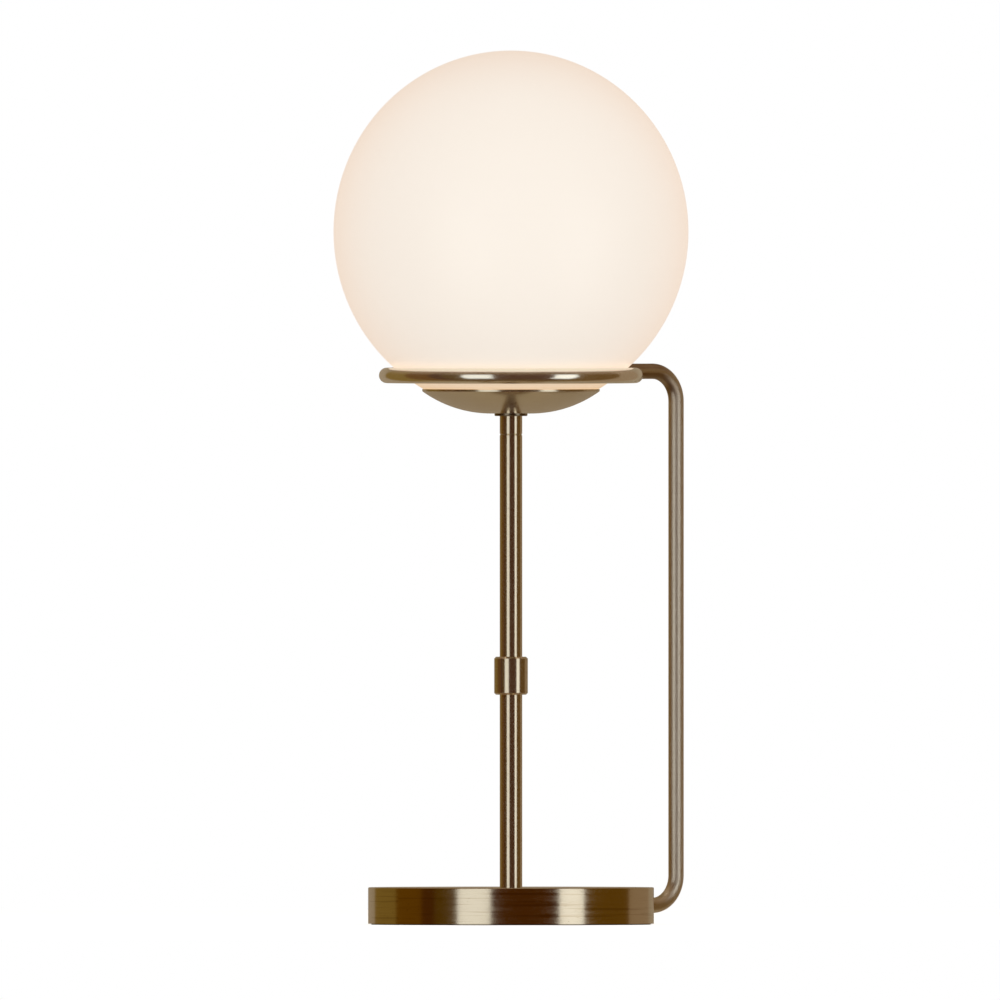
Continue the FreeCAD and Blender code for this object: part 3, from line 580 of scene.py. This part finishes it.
studio = {
    "cameraTurn": -38.0,        # degrees; the rod then stands behind and to the right
    "cameraTilt": 0.3,
    "pixels": 1000,
    "pixel": 0.5634 * mm,
    "centreHeight": 239.2 * mm,
    "centreRight": -6.2 * mm,
    "distance": 4.0,
    "clipEnd": 30.0,
}
softboxes = {
    "left": {"from": -43.0, "to": -16.0, "strength": 1.0},
    "right": {"from": 38.5, "to": 60.0, "strength": 1.14},
}
softboxShape = {"low": -1.4, "high": 1.5, "radius": 1.5, "steps": 24, "colour": (0.98, 0.98, 0.97)}
hoods = {
    "front": {"from": -76.0, "to": 61.0, "level": (0.062, 0.018, 0.0010), "above": (0.22, 0.14, 0.08),
              "below": (0.11, 0.06, 0.012)},
    "besideLeft": {"from": -63.0, "to": -42.0, "level": (0.085, 0.040, 0.002), "radius": 1.65,
                   "below": (0.11, 0.06, 0.012)},
    "frontLeft": {"from": -105.0, "to": -76.0, "level": (0.115, 0.045, 0.0010), "below": (0.14, 0.08, 0.02)},
    "frontRight": {"from": 61.0, "to": 109.0, "level": (0.115, 0.053, 0.004), "below": (0.14, 0.08, 0.02)},
    "left": {"from": -142.0, "to": -105.0, "level": (0.19, 0.115, 0.022)},
    "right": {"from": 109.0, "to": 146.0, "level": (0.27, 0.185, 0.11)},
    "back": {"from": 146.0, "to": 218.0, "level": (0.32, 0.25, 0.17), "above": (0.15, 0.085, 0.02)},
}
# what a hood has where it names nothing of its own; the bands are heights in times the radius
hoodShape = {
    "above": (0.31, 0.21, 0.14),
    "below": (0.36, 0.28, 0.18),
    "radius": 1.7,
    "aboveBand": (0.35, 0.9),
    "belowBand": (-0.55, -1.0),
    "across": 32,
    "up": 40,
}
keyLight = {
    "energy": 9.0, "colour": (0.62, 0.92, 1.0), "size": 1.6, "distance": 3.0, "height": 0.9, "aimHeight": 0.3,
}
floorShape = {
    "radius": 1.6, "segments": 96, "height": -0.02 * mm, "roughness": 0.7,
    "tones": ((0.86, 0.86, 0.855), (0.88, 0.88, 0.875)),
    "lift": 0.75,               # brings the lit floor up to white for the camera and leaves its shadow
}
worldLight = {"shown": (1, 1, 1, 1), "soft": (1.0, 0.90, 0.80, 1), "softStrength": 0.35}


def aroundLamp(degrees, radius, height):
    turn = math.radians(studio["cameraTurn"] + degrees)
    return Vector((math.sin(turn) * radius, -math.cos(turn) * radius, height))


def pointAlong(thing, direction):
    thing.rotation_mode = "QUATERNION"
    thing.rotation_quaternion = direction.to_track_quat("-Z", "Y")


def makeCamera():
    data = bpy.data.cameras.new("camera")
    data.type = "ORTHO"
    data.ortho_scale = studio["pixels"] * studio["pixel"]
    data.clip_end = studio["clipEnd"]
    camera = bpy.data.objects.new("camera", data)
    scene.collection.objects.link(camera)
    tilt = math.radians(studio["cameraTilt"])
    back = aroundLamp(0, math.cos(tilt), math.sin(tilt))
    right = aroundLamp(90, 1.0, 0.0)
    target = right * studio["centreRight"] + Vector((0, 0, studio["centreHeight"]))
    camera.location = target + back * studio["distance"]
    pointAlong(camera, -back)
    scene.camera = camera


def emissionMaterial(name, colour, strength):
    material = bpy.data.materials.new(name)
    material.use_nodes = True
    tree = material.node_tree
    tree.nodes.remove(tree.nodes["Principled BSDF"])
    glow = tree.nodes.new("ShaderNodeEmission")
    glow.inputs["Color"].default_value = (*colour, 1)
    glow.inputs["Strength"].default_value = strength
    tree.links.new(glow.outputs[0], tree.nodes["Material Output"].inputs["Surface"])
    return material


def makeSoftbox(side):
    # an upright curved sheet of light
    box, shape = softboxes[side], softboxShape
    mesh = bmesh.new()
    columns = []
    for step in range(shape["steps"] + 1):
        turn = box["from"] + (box["to"] - box["from"]) * step / shape["steps"]
        columns.append([mesh.verts.new(aroundLamp(turn, shape["radius"], height))
                        for height in (shape["low"], shape["high"])])
    for (a, b), (c, d) in zip(columns, columns[1:]):
        mesh.faces.new((a, c, d, b))
    material = emissionMaterial("softbox" + side, shape["colour"], box["strength"])
    screen = addPiece("softbox_" + side, mesh, material)
    screen.visible_camera = False
    screen.visible_shadow = False


def hoodMaterial(side):
    # one tone level with the lamp, others overhead and underneath
    hood = {**hoodShape, **hoods[side]}
    material = emissionMaterial("hood" + side, hood["level"], 1.0)
    tree = material.node_tree
    height = splitVector(tree, tree.nodes.new("ShaderNodeTexCoord").outputs["Object"])["Z"]
    colour = hood["level"]
    for where in ("above", "below"):
        start, end = hood[where + "Band"]
        fade = fadeBetween(tree, height, start * hoodShape["radius"], end * hoodShape["radius"], "LINEAR")
        colour = mixColours(tree, fade, colour, hood[where])
    tree.links.new(colour, tree.nodes["Emission"].inputs["Color"])
    return material


def makeHood(side):
    # part of the brown ball round the lamp, which is seen only in reflections and through glass
    part = {**hoodShape, **hoods[side]}
    across, up = part["across"], part["up"]
    mesh = bmesh.new()
    rows = []
    for row in range(1, up):
        lift = math.pi * (row / up - 0.5)
        reach, height = part["radius"] * math.cos(lift), part["radius"] * math.sin(lift)
        turns = [part["from"] + (part["to"] - part["from"]) * step / across for step in range(across + 1)]
        rows.append([mesh.verts.new(aroundLamp(turn, reach, height)) for turn in turns])
    for lower, upper in zip(rows, rows[1:]):
        for step in range(across):
            mesh.faces.new((lower[step], lower[step + 1], upper[step + 1], upper[step]))
    hood = addPiece("hood_" + side, mesh, hoodMaterial(side))
    hood.visible_camera = False
    hood.visible_diffuse = False
    hood.visible_shadow = False


def makeKeyLight():
    # a cool soft light from the camera's side, which doesn't show in reflections
    data = bpy.data.lights.new("key", "AREA")
    data.energy = keyLight["energy"]
    data.color = keyLight["colour"]
    data.size = keyLight["size"]
    light = bpy.data.objects.new("key", data)
    scene.collection.objects.link(light)
    light.location = aroundLamp(0, keyLight["distance"], keyLight["height"])
    pointAlong(light, Vector((0, 0, keyLight["aimHeight"])) - light.location)
    light.visible_glossy = False


def makeFloor():
    mesh = bmesh.new()
    bmesh.ops.create_circle(mesh, cap_ends=True, segments=floorShape["segments"], radius=floorShape["radius"])
    material, tree, shader = newMaterial("paleFloor")
    place = tree.nodes.new("ShaderNodeTexCoord").outputs["Object"]
    tone = addNoise(tree, place, scale=3.0, detail=2.0)
    tree.links.new(mixColours(tree, tone, *floorShape["tones"]), shader.inputs["Base Color"])
    shader.inputs["Roughness"].default_value = floorShape["roughness"]
    shader.inputs["Emission Color"].default_value = (1, 1, 1, 1)
    path = tree.nodes.new("ShaderNodeLightPath")
    lift = addMath(tree, "MULTIPLY", path.outputs["Is Camera Ray"], floorShape["lift"])
    tree.links.new(lift, shader.inputs["Emission Strength"])
    floor = addPiece("floor", mesh, material)
    floor.location.z = floorShape["height"]
    floor.visible_glossy = False


def makeWorld():
    # white for the camera, for reflections and through glass, and a dim warm light on everything else
    world = bpy.data.worlds.new("studio")
    scene.world = world
    world.use_nodes = True
    tree = world.node_tree
    tree.nodes.clear()
    out = tree.nodes.new("ShaderNodeOutputWorld")
    shown = tree.nodes.new("ShaderNodeBackground")
    shown.inputs["Color"].default_value = worldLight["shown"]
    shown.inputs["Strength"].default_value = 1.0
    soft = tree.nodes.new("ShaderNodeBackground")
    soft.inputs["Color"].default_value = worldLight["soft"]
    soft.inputs["Strength"].default_value = worldLight["softStrength"]
    path = tree.nodes.new("ShaderNodeLightPath")
    seen = addMath(tree, "ADD", path.outputs["Is Camera Ray"], path.outputs["Is Glossy Ray"])
    seen = addMath(tree, "ADD", seen, path.outputs["Is Transmission Ray"], clamp=True)
    mix = tree.nodes.new("ShaderNodeMixShader")
    tree.links.new(seen, mix.inputs[0])
    tree.links.new(soft.outputs[0], mix.inputs[1])
    tree.links.new(shown.outputs[0], mix.inputs[2])
    tree.links.new(mix.outputs[0], out.inputs["Surface"])


makeCamera()
for side in softboxes:
    makeSoftbox(side)
for side in hoods:
    makeHood(side)
makeKeyLight()
makeFloor()
makeWorld()
